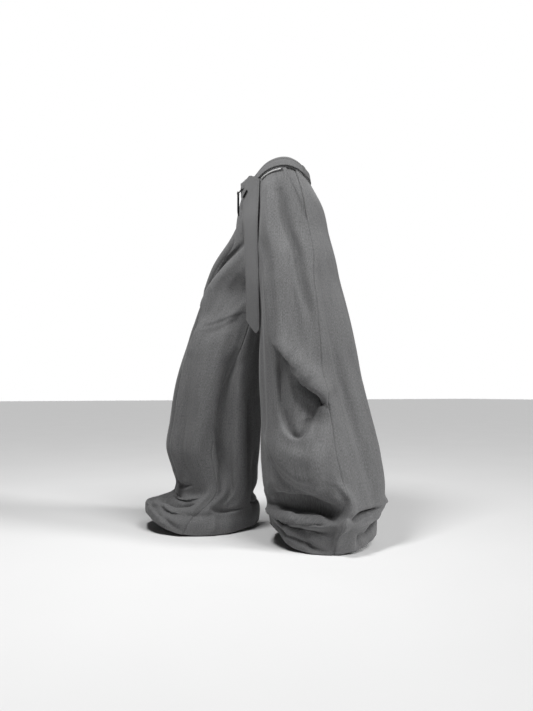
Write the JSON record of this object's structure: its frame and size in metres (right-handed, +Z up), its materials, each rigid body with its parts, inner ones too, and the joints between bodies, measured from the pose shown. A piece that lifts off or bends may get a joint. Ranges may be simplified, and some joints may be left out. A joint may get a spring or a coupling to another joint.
{
  "type": "wide-leg trousers",
  "caption": "High-waisted wide-leg trousers in grey wool, worn hollow in a short stride, with a self belt, a slim black buckle and hems that pool.",
  "frame": {"origin": "middle of the waist, at half the waistband's height at the sides, where the wearer holds the trousers up", "axes": "+Z up the body, -Y the way the wearer faces, +X to the wearer's left"},
  "size_m": [0.6641, 0.5667, 1.0552],
  "materials": {
    "wool": "matte grey melange wool twill",
    "pale_piping": "smooth pale cord",
    "black_metal": "satin black"
  },
  "bodies": {
    "root": {"front_left": "wool", "back_left": "wool", "front_right": "wool", "back_right": "wool", "pocket_facing_left": "wool", "pocket_facing_right": "wool", "fly": "wool", "waistband": "wool", "belt": "wool", "belt_tail": "wool", "buckle_tab": "wool", "belt_loop_left_front": "wool", "belt_loop_left_back": "wool", "belt_loop_back": "wool", "belt_loop_right_back": "wool", "belt_loop_right_front": "wool", "waist_piping_left": "pale_piping", "waist_piping_right": "pale_piping", "piping_end_left": "black_metal", "piping_end_right": "black_metal", "buckle_frame": "black_metal", "buckle_bar": "black_metal"}
  },
  "joints": []
}
